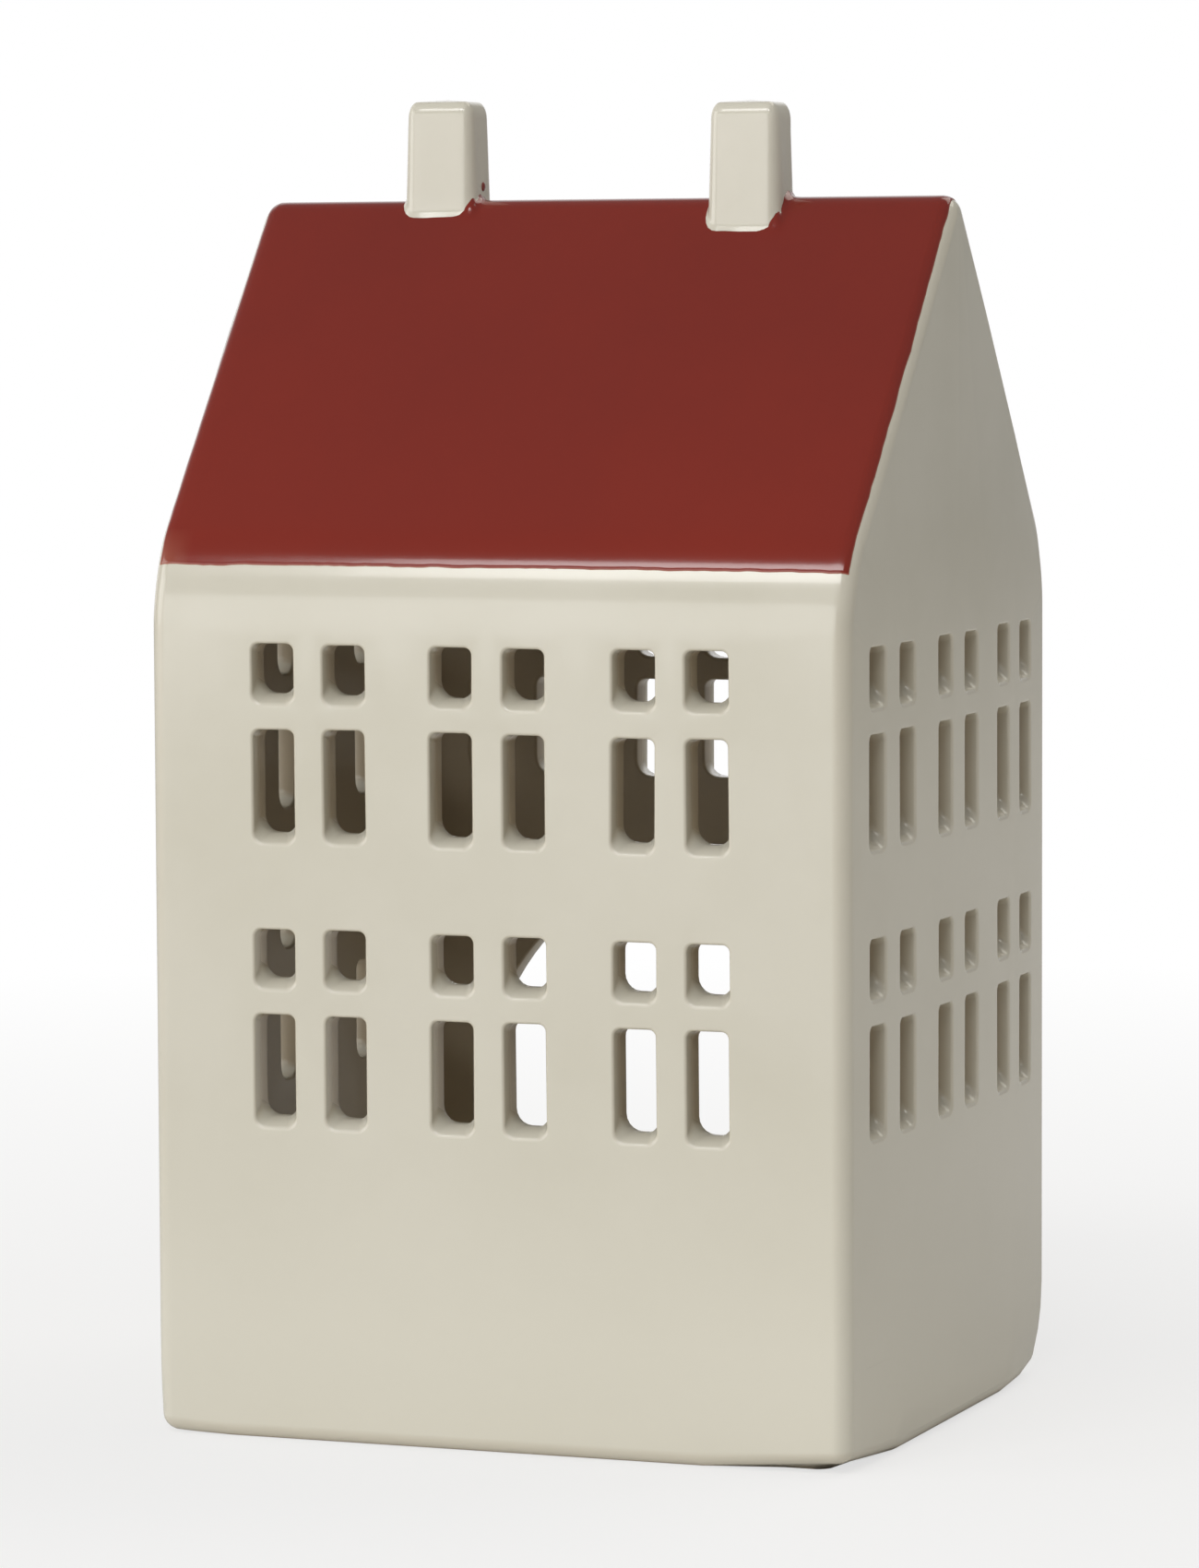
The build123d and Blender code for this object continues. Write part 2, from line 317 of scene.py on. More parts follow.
def pierced_skin(inset, eave_round, ridge_round, corner_round, foot_round):
    """One skin of the wall, inner or outer, open at its foot, its panes and its hatch."""
    bm = house_skin(inset, eave_round, ridge_round, corner_round)
    if foot_round:
        round_edges(bm, edges_on(bm, lambda at: abs(at.z) < hair), foot_round, math.pi / 2, foot_steps)
    sole = [face for face in bm.faces if all(abs(vert.co.z) < hair for vert in face.verts)]
    bmesh.ops.delete(bm, geom=sole, context="FACES_ONLY")
    for number, (turn, distance, columns, rows) in enumerate(walls):
        place = wall_place(turn, distance - inset)
        lowest = rows[0][0] - rows[0][1] / 2 - row_margin
        heights = [lowest, rows[-1][0] + rows[-1][1] / 2 + row_margin]
        heights += [
            (below + tall / 2 + above - high / 2 - mouth_drop) / 2
            for (below, tall), (above, high) in zip(rows, rows[1:])
        ]
        for height in heights:
            cut_wall(bm, place, (0, height, 0), (0, 1, 0))
        for left, right in zip(columns, columns[1:]):
            cut_wall(bm, place, ((left + right) / 2, 0, 0), (1, 0, 0), lowest if number == rear_wall else 0)
        for at, width, height in wall_panes[number]:
            shape = (width, height, pane_corner, sill_corner)
            if not inset:
                at = at @ Matrix.Translation((0, -mouth_drop / 2, 0))
                shape = (width + mouth_growth, height + mouth_drop, mouth_corner, mouth_sill_corner)
            pierce(bm, place, pane_outline(bm, place @ at, *shape), at.translation)
        if number == rear_wall:
            pierce(bm, place, hatch_outline(bm, place), (0, hatch_spring))
    for share in tuck_cut_shares:
        slice_skin(bm, (0, 0, share * tuck_height), (0, 0, 1))
    return bm


def in_walls(edge, inset):
    """Whether an edge lies in a face of the walls, moved in by the inset."""
    return any(
        all(abs(abs(vert.co[axis]) - reach + inset) < hair for vert in edge.verts)
        for axis, reach in ((0, half_width), (1, half_depth))
    )


def by_hatch(edge):
    """Whether an edge lies on the hatch's own outline or below its head, in the rear wall."""
    at = edge.verts[0].co
    return at.y > 0 and abs(at.x) < hatch_half + hair and at.z < hatch_spring + hatch_half + hair


def bridge_hole(bm, back, middle, reach):
    """Joins the two skins round a hole, within a reach of its middle, and gives the jambs."""
    def near(at):
        gap = back @ at - middle
        return abs(gap.x) < reach[0] and abs(gap.y) < reach[1] and gap.z > -2 * wall_thickness

    rims = [edge for edge in edges_on(bm, near) if edge.is_boundary]
    return bmesh.ops.bridge_loops(bm, edges=rims)["faces"]


def shape_mouth(bm, jambs, place, back):
    """Cuts a pane's jambs across, so that only their outer part opens out and falls away."""
    cut = cut_faces(bm, jambs, place @ Vector((0, 0, -mouth_depth)), place.to_3x3() @ Vector((0, 0, 1)))
    for vert in (item for item in cut if isinstance(item, bmesh.types.BMVert)):
        ends = [back @ edge.other_vert(vert).co for edge in vert.link_edges]
        inmost = min(ends, key=lambda end: end.z)
        vert.co = place @ Vector((inmost.x, inmost.y, -mouth_depth))


def sponge(bm):
    """Rounds the arrises of the panes and the hatch, outside and inside, and clears painted shade from faces
    that turn up.
    """
    arrises = [edge for edge in bm.edges if edge.is_manifold and edge.calc_face_angle() > sharp_turn]
    outer = [edge for edge in arrises if in_walls(edge, 0)]
    groups = (
        ([edge for edge in outer if not by_hatch(edge)], pane_arris, pane_arris_steps),
        ([edge for edge in outer if by_hatch(edge)], hatch_arris, hatch_arris_steps),
        ([edge for edge in arrises if in_walls(edge, wall_thickness)], inner_arris, inner_arris_steps),
    )
    for edges, radius, steps in groups:
        round_edges(bm, edges, radius, math.pi / 2, steps)
    bm.normal_update()
    for vert in bm.verts:  # painted light on faces that turn up, such as the sills: the lining's painted shade and the thin tint clear
        for name in ("lining", "thin_glaze"):
            vert[bm.verts.layers.float[name]] *= 1 - clamp(sill_gain * vert.normal.z)


def settle(at):
    """Moves a place of the true shape to where the kiln left it: drawn in below, sagged and bowed."""
    depth = max(0.0, min(half_width - abs(at.x), half_depth - abs(at.y)))
    if depth < wall_thickness and at.z < tuck_height:
        low = (1 - at.z / tuck_height) ** 2
        low *= min(1.0, (wall_thickness - depth) / (wall_thickness - foot_radius))
        drawn_in = tuck
        for side_x, side_y, rise, shrink, reach in foot_corners:
            gaps = (half_width - side_x * at.x, half_depth - side_y * at.y)
            closeness = max(0.0, 1 - gaps[0] / reach) * max(0.0, 1 - gaps[1] / reach)
            at.z += rise * closeness * low
            drawn_in += shrink * closeness
        at.x -= drawn_in * low * at.x / half_width
        at.y -= drawn_in * low * at.y / half_depth
    at.z -= ridge_sag(at)
    at.x *= gable_reach(clamp(at.y, -half_depth, half_depth)) / half_width


def cast_house():
    """Both skins, joined through the panes, the hatch and round the foot, sponged and fired."""
    bm = pierced_skin(0, eave_radius, ridge_radius, corner_radius, foot_radius)
    cuts = [(axis, gap, 1.0) for axis in (0, 1) for gap in corner_cuts]
    cuts += [(0, front_cut, 0.0), (1, front_cut, 1.0)]  # none through the hatch's foot, in the rear wall
    for axis, gap, ahead in cuts:
        for side in (-1, 1):
            place, along = Vector((0, 0, 0)), Vector((0, 0, 0))
            place[axis] = side * ((half_width, half_depth)[axis] - gap)
            along[axis] = 1
            slice_skin(bm, place, along, tuck_height + hair, ahead)
    inner = pierced_skin(
        wall_thickness, eave_radius - wall_thickness, inner_ridge_radius, inner_corner_radius, 0
    )
    bm.verts.layers.float.new("lining")
    inside = inner.verts.layers.float.new("lining")
    for vert in inner.verts:
        vert[inside] = 1.0
    bmesh.ops.reverse_faces(inner, faces=inner.faces)
    lining = bpy.data.meshes.new("lining")
    inner.to_mesh(lining)
    inner.free()
    bm.from_mesh(lining)
    bpy.data.meshes.remove(lining)
    for number, (turn, distance, _, _) in enumerate(walls):
        place = wall_place(turn, distance)
        back = place.inverted()
        for at, width, height in wall_panes[number]:
            reach = (width / 2 + mouth_growth + hair, height / 2 + mouth_reach)
            shape_mouth(bm, bridge_hole(bm, back, at.translation, reach), place, back)
        if number == rear_wall:
            bridge_hole(bm, back, Vector((0, hatch_spring, 0)), (hatch_half + hair, hatch_half + hair))
    foot = [edge for edge in edges_on(bm, lambda at: abs(at.z) < hair) if edge.is_boundary]
    bmesh.ops.triangle_fill(bm, use_beauty=True, use_dissolve=False, edges=foot, normal=(0, 0, -1))
    bmesh.ops.recalc_face_normals(bm, faces=bm.faces)
    sponge(bm)
    for vert in bm.verts:
        settle(vert.co)
    return bm


def placed(name, data):
    """An object in the scene that shows a mesh, a lamp or a camera."""
    made = bpy.data.objects.new(name, data)
    bpy.context.scene.collection.objects.link(made)
    return made


def piece(name, bm, material, body):
    """An object at the origin made from a bmesh, with its material, riding on a body."""
    for face in bm.faces:
        face.smooth = True
    mesh = bpy.data.meshes.new(name)
    bm.to_mesh(mesh)
    bm.free()
    mesh.materials.append(material)
    made = placed(name, mesh)
    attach(made, body)
    return made


def group_tree(name, inputs, outputs):
    """An empty node group with named sockets, and its input and output nodes."""
    tree = bpy.data.node_groups.new(name, "ShaderNodeTree")
    for label, kind in inputs:
        tree.interface.new_socket(name=label, in_out="INPUT", socket_type=kind)
    for label, kind in outputs:
        tree.interface.new_socket(name=label, in_out="OUTPUT", socket_type=kind)
    return tree, tree.nodes.new("NodeGroupInput"), tree.nodes.new("NodeGroupOutput")


def node(tree, kind, values=None, **settings):
    """A node with its settings, and values or links for its inputs."""
    made = tree.nodes.new(kind)
    for key, value in settings.items():
        setattr(made, key, value)
    for key, value in (values or {}).items():
        if isinstance(value, bpy.types.NodeSocket):
            tree.links.new(value, made.inputs[key])
        else:
            made.inputs[key].default_value = value
    return made


def ramp(tree, value, low, high, start=0.0, end=1.0):
    """A value brought from one range to another, and held at its ends."""
    values = {"Value": value, "From Min": low, "From Max": high, "To Min": start, "To Max": end}
    return node(tree, "ShaderNodeMapRange", values).outputs["Result"]


def blend_colour(tree, factor, first, second):
    """A mix of two colours, each a plain colour or a socket."""
    return node(tree, "ShaderNodeMix", {0: factor, 6: first, 7: second}, data_type="RGBA").outputs[2]


def maths(tree, operation, first, second):
    """The result of one sum on two values."""
    return node(tree, "ShaderNodeMath", {0: first, 1: second}, operation=operation).outputs[0]


def grain(tree, place, scale, detail=2.0):
    """A value that varies from place to place in soft grains."""
    values = {"Vector": place, "Scale": scale, "Detail": detail}
    return node(tree, "ShaderNodeTexNoise", values).outputs["Fac"]


def glaze_flow():
    """How a fired glaze lies: a slow swell, a fine orange peel, cloudy tone and scattered pinholes."""
    tree, given, out = group_tree(
        "glaze_flow",
        [("Place", "NodeSocketVector"), ("Pinholes", "NodeSocketFloat")],
        [("Height", "NodeSocketFloat"), ("Cloud", "NodeSocketFloat"), ("Pinhole", "NodeSocketFloat")],
    )
    place = given.outputs["Place"]
    cloud = node(
        tree, "ShaderNodeTexNoise", {"Vector": place, "Scale": 22.0, "Detail": 4.0, "Roughness": 0.6}
    )
    cells = node(tree, "ShaderNodeTexVoronoi", {"Vector": place, "Scale": 150.0})
    dot = ramp(tree, cells.outputs["Distance"], 0.018, 0.034, 1.0, 0.0)
    chance = node(tree, "ShaderNodeSeparateColor", {"Color": cells.outputs["Color"]}).outputs["Red"]
    rare = maths(tree, "LESS_THAN", chance, given.outputs["Pinholes"])
    pinhole = maths(tree, "MULTIPLY", dot, rare)
    peel = maths(tree, "MULTIPLY", grain(tree, place, 420.0), 0.04)
    height = maths(tree, "SUBTRACT", maths(tree, "ADD", grain(tree, place, 38.0, 1.0), peel), pinhole)
    tree.links.new(height, out.inputs["Height"])
    tree.links.new(cloud.outputs["Fac"], out.inputs["Cloud"])
    tree.links.new(pinhole, out.inputs["Pinhole"])
    return tree


glaze_flow_group = glaze_flow()
glaze_relief = 0.12 * mm


def new_material(name, roughness=0.5, **constants):
    """A material with a Principled shader, and its object coordinates."""
    material = bpy.data.materials.new(name)
    material.use_nodes = True
    tree = material.node_tree
    shader = tree.nodes["Principled BSDF"]
    shader.inputs["Roughness"].default_value = roughness
    for key, value in constants.items():
        shader.inputs[key.replace("_", " ")].default_value = value
    place = tree.nodes.new("ShaderNodeTexCoord").outputs["Object"]
    return material, tree, shader, place


def bump(tree, shader, height, distance):
    """Lets a height stand out from the surface."""
    relief = node(tree, "ShaderNodeBump", {"Height": height, "Distance": distance})
    tree.links.new(relief.outputs["Normal"], shader.inputs["Normal"])


def glazed(name, pinholes, **constants):
    """A glaze's material, the outputs of its flow, and its bump."""
    material, tree, shader, place = new_material(name, Coat_Roughness=0.05, **constants)
    flow = node(tree, "ShaderNodeGroup", node_tree=glaze_flow_group)
    tree.links.new(place, flow.inputs["Place"])
    flow.inputs["Pinholes"].default_value = pinholes
    bump(tree, shader, flow.outputs["Height"], glaze_relief)
    return material, tree, shader, place, flow.outputs


white_colour = (0.70, 0.665, 0.56, 1)
white_pool_colour = (0.655, 0.62, 0.51, 1)
white_low_lit_colour = (0.76, 0.725, 0.615, 1)  # painted light: the walls lighter towards the foot
thin_colour = (0.62, 0.55, 0.43, 1)
clay_colour = (0.62, 0.53, 0.42, 1)
iron_colour = (0.16, 0.11, 0.075, 1)
lining_shade_colour = (0.50, 0.42, 0.30, 1)  # painted shade inside the house and deeper into each jamb


def white_glaze():
    """Off-white glaze: cloudy where it pools, buff where it thins, bare clay under the foot; painted light
    low down and painted shade inside.
    """
    material, tree, shader, place, flow = glazed("white_glaze", 0.012)
    colour = blend_colour(tree, ramp(tree, flow["Cloud"], 0.4, 0.68), white_colour, white_pool_colour)
    height = node(tree, "ShaderNodeSeparateXYZ", {"Vector": place}).outputs["Z"]
    # Painted light: the colour lightens towards the foot, below 50 mm.
    colour = blend_colour(tree, ramp(tree, height, 15 * mm, 50 * mm, 0.8, 0.0), colour, white_low_lit_colour)
    thin = node(tree, "ShaderNodeAttribute", attribute_name="thin_glaze").outputs["Fac"]
    colour = blend_colour(tree, maths(tree, "MULTIPLY", thin, 0.3), colour, thin_colour)
    lining = node(tree, "ShaderNodeAttribute", attribute_name="lining").outputs["Fac"]
    # Painted shade: darker brown inside the house and deeper into each jamb, where little light reaches.
    colour = blend_colour(tree, ramp(tree, lining, 0.0, 0.5), colour, lining_shade_colour)
    colour = blend_colour(tree, flow["Pinhole"], colour, iron_colour)
    bare = ramp(tree, height, 0.15 * mm, 0.45 * mm, 1.0, 0.0)
    colour = blend_colour(tree, bare, colour, clay_colour)
    tree.links.new(colour, shader.inputs["Base Color"])
    dull = maths(tree, "MAXIMUM", bare, maths(tree, "MULTIPLY", lining, 0.4))
    tree.links.new(ramp(tree, dull, 0.0, 1.0, 0.16, 0.85), shader.inputs["Roughness"])
    tree.links.new(ramp(tree, dull, 0.0, 0.5, 0.35, 0.0), shader.inputs["Coat Weight"])
    return material


white = white_glaze()
house_cast = cast_house()
house_face = BVHTree.FromBMesh(house_cast)  # its finished surface, on which later pieces are laid
shell = piece("glazed_shell", house_cast, white, "house")
shell.modifiers.new("even_shading", "WEIGHTED_NORMAL").weight = 60
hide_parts("house_shell")

# Floor slab: a plate rolled from the same clay and luted into the foot of the casting with slip.
# It is glazed with the house and carries the tealight.
def recoat(name, material):
    """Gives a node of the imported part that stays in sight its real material."""
    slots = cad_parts[name].data.materials
    slots.clear()
    slots.append(material)


recoat("floor_slab", white)

# Chimneys: two small solid blocks, modelled by hand and stuck astride the ridge with slip, which
# was brushed into a cove round each joint. White glaze, thick at the cove.
chimney_half = Vector((4.7, 3.6)) * mm
chimney_corner, chimney_corner_steps, chimney_side_cuts = 1.4 * mm, 5, 7
shoulder_reach, shoulder_drop = 1.3 * mm, 2.3 * mm  # rounding of the top
chimney_turns = {"left_chimney": math.radians(0.4), "right_chimney": math.radians(-0.6)}
chimney_middles = {name: sum(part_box(name), Vector()) / 2 for name in chimney_turns}
chimney_crown = 0.25 * mm
chimney_taper = 0.03  # growth each way for each unit down
cove_height, cove_reach = 0.85 * mm, 0.62 * mm
cove_sink = 0.3 * mm  # how far the cove's thin edge goes under the red
wobble_cell = 2.4 * mm
shaft_wobble, reach_wobble, edge_wobble = 0.08 * mm, 0.12, 0.35 * mm  # reach_wobble is a share
shoulder_steps, shaft_steps, cove_steps = 8, 6, 5


def ridge_surface(at):
    """The height of the roof's surface under a place."""
    return house_face.ray_cast(Vector((at.x, at.y, ridge_height)), Vector((0, 0, -1)))[0].z


def chimney(name):
    """A block from its crown down: shoulder, tapering shaft and the cove that ends in the red."""
    middle, top = chimney_middles[name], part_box(name)[1].z - chimney_crown
    turned = Matrix.Rotation(chimney_turns[name], 2)
    bm = bmesh.new()
    crown = Matrix.Translation((middle.x, middle.y, top)) @ turned.to_4x4()
    crown = crown @ Matrix.Diagonal((*(2 * chimney_half), 1, 1))
    corners = bmesh.ops.create_grid(bm, x_segments=1, y_segments=1, size=0.5, matrix=crown)["verts"]
    bmesh.ops.bevel(
        bm, geom=corners, offset=chimney_corner, offset_type="OFFSET", segments=chimney_corner_steps,
        profile=0.5, affect="VERTICES", material=-1,
    )
    sides = [edge for edge in bm.edges if edge.calc_length() > chimney_corner]
    bmesh.ops.subdivide_edges(bm, edges=sides, cuts=chimney_side_cuts)

    def set_out(vert, out, height):
        """Moves a vertex to a distance out from the block's plain outline, and to a height."""
        at = turned.inverted() @ (vert.co - middle).xy
        core = Vector([
            clamp(c, chimney_corner - half, half - chimney_corner) for c, half in zip(at, chimney_half)
        ])
        away = (at - core).normalized() * (chimney_corner + out)
        vert.co = (*(middle.xy + turned @ (core + away)), height)

    def next_row(ring, place):
        """Draws the ring out into a new one and sets its vertices in place."""
        made = bmesh.ops.extrude_edge_only(bm, edges=ring)["geom"]
        for vert in (item for item in made if isinstance(item, bmesh.types.BMVert)):
            place(vert)
        return [item for item in made if isinstance(item, bmesh.types.BMEdge) and item.is_boundary]

    def wobble(vert, amount):
        """A slow unevenness round the chimney, never the same on both."""
        return noise.noise(Vector((vert.co.x, vert.co.y, middle.x)) / wobble_cell) * amount

    ring = list(bm.edges)
    for vert in bm.verts:
        set_out(vert, -shoulder_reach, top)
    for step in range(1, shoulder_steps + 1):
        lean = step / shoulder_steps * math.pi / 2
        out = -shoulder_reach * (1 - math.sin(lean))
        drop = shoulder_drop * (1 - math.cos(lean))
        ring = next_row(ring, lambda vert: set_out(vert, out, top - drop))
    for step in range(1, shaft_steps + 1):
        def shaft(vert):
            foot = ridge_surface(vert.co) + cove_height
            height = top - shoulder_drop + (foot - top + shoulder_drop) * step / shaft_steps
            spread = chimney_taper * (top - shoulder_drop - height)
            set_out(vert, spread + wobble(vert, shaft_wobble), height)
        ring = next_row(ring, shaft)
    for step in range(1, cove_steps + 1):
        def cove(vert):
            foot = ridge_surface(vert.co)
            part = step / cove_steps
            flare = cove_reach * part * (1 + wobble(vert, reach_wobble))
            spread = chimney_taper * (top - shoulder_drop - foot)
            set_out(vert, spread + flare, foot + cove_height)
            lift = (cove_height + cove_sink) * (1 - part) - cove_sink + part * wobble(vert, edge_wobble)
            vert.co.z = ridge_surface(vert.co) + lift
        ring = next_row(ring, cove)
    sole = min(vert.co.z for vert in bm.verts) - cove_sink

    def flat(vert):
        vert.co.z = sole

    bmesh.ops.contextual_create(bm, geom=next_row(ring, flat))
    crown_face = max(bm.faces, key=lambda face: (face.calc_center_median().z, face.calc_area()))
    centre = bmesh.ops.poke(bm, faces=[crown_face])["verts"]
    bmesh.ops.translate(bm, verts=centre, vec=(0, 0, chimney_crown))
    bmesh.ops.recalc_face_normals(bm, faces=bm.faces)
    return bm


for chimney_name in chimney_turns:
    stack = piece("glazed_" + chimney_name, chimney(chimney_name), white, "house")
    stack.modifiers.new("even_shading", "WEIGHTED_NORMAL").weight = 60
    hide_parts(chimney_name)

# Roof glaze: a coat of red glaze brushed over both slopes and the ridge, on top of the white. It
# ends in a soft, slightly wandering lip on the eaves and along the gables, and thins there.
red_edge = 0.8 * mm  # its lower edge above the eave line
red_margin = 0.7 * mm  # white left along each gable
red_lift = 0.14 * mm
red_lip = 0.5 * mm  # width of the rounded lip
red_sink = 0.03 * mm
red_body = 0.3 * mm  # thickness of the coat's mesh, which reaches into the wall
red_wander = 0.32 * mm
eave_waves = ((9 * mm, 1.0, 0.3), (1.7 * mm, 0.35, 7.3))  # length, share of the wander and seed
gable_waves = ((11 * mm, 1.0, 2.1), (2.2 * mm, 0.45, 5.7))
wander_hold = 12  # how fast the wander dies away from the edge
red_pool, pool_reach = 1.1 * mm, 0.6 * mm  # how high it stands at the chimneys' right, and how wide
pool_cell = 0.8 * mm
lip_steps = (0.0, 0.06, 0.16, 0.3, 0.5, 0.85, 1.4)  # rows next to the lip, in millimetres
plain_row, plain_column, fine_step = 1.6 * mm, 1.0 * mm, 0.45 * mm
ridge_row, eave_row, gable_column = 0.35 * mm, 0.8 * mm, 0.35 * mm
fine_below_ridge, chimney_span = 7 * mm, (14 * mm, 30 * mm)  # where the rows and columns are fine

eave_centre = eave_height - eave_radius * math.tan((math.pi / 2 - slope) / 2)
ridge_centre = ridge_height - ridge_radius / math.cos(slope)
ridge_arc = ridge_radius * slope
slope_top = Vector((ridge_radius * math.sin(slope), ridge_centre + ridge_radius * math.cos(slope)))
slope_foot = Vector((
    half_depth - eave_radius * (1 - math.sin(slope)), eave_centre + eave_radius * math.cos(slope)
))
slope_length = (slope_foot - slope_top).length
red_angle = math.asin((eave_height + red_edge - eave_centre) / eave_radius)
red_run = ridge_arc + slope_length + eave_radius * (math.pi / 2 - slope - red_angle)
flat_half = half_width - corner_radius
red_reach = flat_half + corner_radius * math.asin((corner_radius - red_margin) / corner_radius)


def roof_section(run):
    """The place and the outward direction on the roof's section, a distance along it from the ridge."""
    side, run = math.copysign(1, run), abs(run)
    if run < ridge_arc:
        lean = run / ridge_radius
        away = Vector((math.sin(lean), math.cos(lean)))
        at = Vector((0, ridge_centre)) + ridge_radius * away
    elif run < ridge_arc + slope_length:
        away = Vector((math.sin(slope), math.cos(slope)))
        at = slope_top.lerp(slope_foot, (run - ridge_arc) / slope_length)
    else:
        lean = slope + (run - ridge_arc - slope_length) / eave_radius
        away = Vector((math.sin(lean), math.cos(lean)))
        at = Vector((half_depth - eave_radius, eave_centre)) + eave_radius * away
    return Vector((side * at.x, at.y)), Vector((side * away.x, away.y))


def roof_place(along, run, lift):
    """A place on the roof, a distance from its middle along the house and from the ridge across it."""
    at, away = roof_section(run)
    lean = max(0.0, abs(along) - flat_half) / corner_radius
    x = min(abs(along), flat_half) + corner_radius * math.sin(lean)
    at = at - away * corner_radius * (1 - math.cos(lean))
    place = Vector((math.copysign(x, along) * gable_reach(at.x) / half_width, at.x, at.y))
    outwards = Vector((math.copysign(math.sin(lean), along), *(away * math.cos(lean))))
    face = house_face.ray_cast(place + outwards * corner_radius, -outwards)[0]
    return face + outwards * lift


def stations(reach, arcs, step):
    """Places across the coat from edge to edge: close at the lips and on arcs, wide between them."""
    marks = [reach - near * mm for near in lip_steps]
    bounds = sorted({0.0, marks[-1], *[place for arc in arcs for place in arc[:2] if place < marks[-1]]})
    for low, high in zip(bounds, bounds[1:]):
        fine = next((arc[2] for arc in arcs if arc[0] <= low and high <= arc[1] + hair), step)
        count = max(1, math.ceil((high - low) / fine))
        marks += [low + (high - low) * n / count for n in range(count)]
    half = sorted(set(round(mark, 7) for mark in marks))
    return [-mark for mark in reversed(half) if mark > hair] + half


def pooled_red(at):
    """How much higher the red stands at a place because the brush left it against a chimney."""
    rise = 0.0
    for name, turn in chimney_turns.items():
        local = Matrix.Rotation(-turn, 2) @ (at - chimney_middles[name]).xy
        gap = Vector([max(0.0, abs(c) - half) for c, half in zip(local, chimney_half)]).length
        side = clamp(2 * local.x / chimney_half.x - 1)
        rise += red_pool * side * math.exp(-((gap / pool_reach) ** 1.5))
    return rise


def wander(along, side, waves):
    """How far an edge strays from its line at a place along it, as a share: a sum of slow waves."""
    return sum(size * noise.noise(Vector((along / length, side, seed))) for length, size, seed in waves)


def red_coat():
    """The coat as one grid laid over the roof, its rim wandering and its lip rolled under."""
    near_ridge = (ridge_arc, ridge_arc + fine_below_ridge, fine_step)
    eave_turn = (ridge_arc + slope_length, red_run, eave_row)
    across = stations(red_run, [(0, ridge_arc, ridge_row), near_ridge, eave_turn], plain_row)
    gable_turn = (flat_half, red_reach, gable_column)
    along = stations(red_reach, [(*chimney_span, fine_step), gable_turn], plain_column)
    bm = bmesh.new()
    edge = bm.verts.layers.float.new("lip")
    bmesh.ops.create_grid(bm, x_segments=len(along) - 1, y_segments=len(across) - 1, size=0.5)
    for vert in bm.verts:
        column = round((vert.co.x + 0.5) * (len(along) - 1))
        row = round((vert.co.y + 0.5) * (len(across) - 1))
        x, run = along[column], across[row]
        inside = min(red_reach - abs(x), red_run - abs(run))
        at_eave = wander(x, math.copysign(5, run), eave_waves) * (abs(run) / red_run) ** wander_hold
        at_gable = wander(run, math.copysign(3, x), gable_waves) * (abs(x) / red_reach) ** wander_hold
        run += math.copysign(red_wander * at_eave, run)
        x += math.copysign(red_wander * at_gable, x)
        rolled = clamp(inside / red_lip)
        lift = (red_lift + red_sink) * math.sqrt(1 - (1 - rolled) ** 2) - red_sink
        vert[edge] = max(0.0, 1 - inside / red_lip)
        vert.co = roof_place(x, run, lift)
        vert.co.z += pooled_red(vert.co) * (1 + 0.5 * noise.noise(vert.co / pool_cell))
    bmesh.ops.recalc_face_normals(bm, faces=bm.faces)
    if sum(face.normal.z for face in bm.faces) < 0:
        bmesh.ops.reverse_faces(bm, faces=bm.faces)
    bmesh.ops.solidify(bm, geom=list(bm.faces), thickness=red_body)
    return bm


red_colour = (0.195, 0.0155, 0.0075, 1)
red_warm_lit_colour = (0.240, 0.0190, 0.0075, 1)
red_thin_colour = (0.50, 0.20, 0.13, 1)


def red_glaze():
    """Red glaze: even and deep, with painted light towards the eave and random warmer clouds, pinkish on its
    very lip.
    """
    material, tree, shader, place, flow = glazed("red_glaze", 0.022, roughness=0.13, Coat_Weight=0.3)
    at = node(tree, "ShaderNodeSeparateXYZ", {"Vector": place}).outputs
    # Painted light: the red lighter and warmer towards the eave, plus random warmer clouds.
    warmth_and_eave_light = maths(tree, "ADD", ramp(tree, at["Z"], 118 * mm, 145 * mm, 0.6, 0.0),
                   ramp(tree, flow["Cloud"], 0.4, 0.7, 0.0, 0.4))
    colour = blend_colour(tree, warmth_and_eave_light, red_colour, red_warm_lit_colour)
    corner = maths(tree, "MULTIPLY", ramp(tree, at["Z"], 115 * mm, 119 * mm, 1.0, 0.0),
                   ramp(tree, at["X"], -half_width, -half_width + 5 * mm, 1.0, 0.0))
    colour = blend_colour(tree, maths(tree, "MULTIPLY", corner, 0.5), colour, red_thin_colour)
    lip = node(tree, "ShaderNodeAttribute", attribute_name="lip").outputs["Fac"]
    colour = blend_colour(tree, ramp(tree, lip, 0.55, 1.0, 0.0, 0.8), colour, red_thin_colour)
    colour = blend_colour(tree, flow["Pinhole"], colour, red_thin_colour)
    tree.links.new(colour, shader.inputs["Base Color"])
    return material


red = red_glaze()
coat = piece("red_roof_coat", red_coat(), red, "house")
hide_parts("roof_glaze")

# Drop of red: a bead of the same glaze that the brush left on the right face of the left chimney,
# just above the ridge. It melted onto the white in the kiln.
drop_out, drop_back, drop_fall = 0.25 * mm, 0.2 * mm, 0.1 * mm  # off the face, behind its middle, below
drop_half = (0.3 * mm, 0.55 * mm, 0.65 * mm)
drop_side = Matrix.Rotation(chimney_turns["left_chimney"], 2) @ Vector((chimney_half.x + drop_out, drop_back))
drop_place = (*(chimney_middles["left_chimney"].xy + drop_side), ridge_height - drop_fall)
drop_bm = bmesh.new()
bmesh.ops.create_icosphere(
    drop_bm, subdivisions=3, radius=1,
    matrix=Matrix.Translation(drop_place) @ Matrix.Diagonal((*drop_half, 1)),
)
drop = piece("red_drop", drop_bm, red, "house")

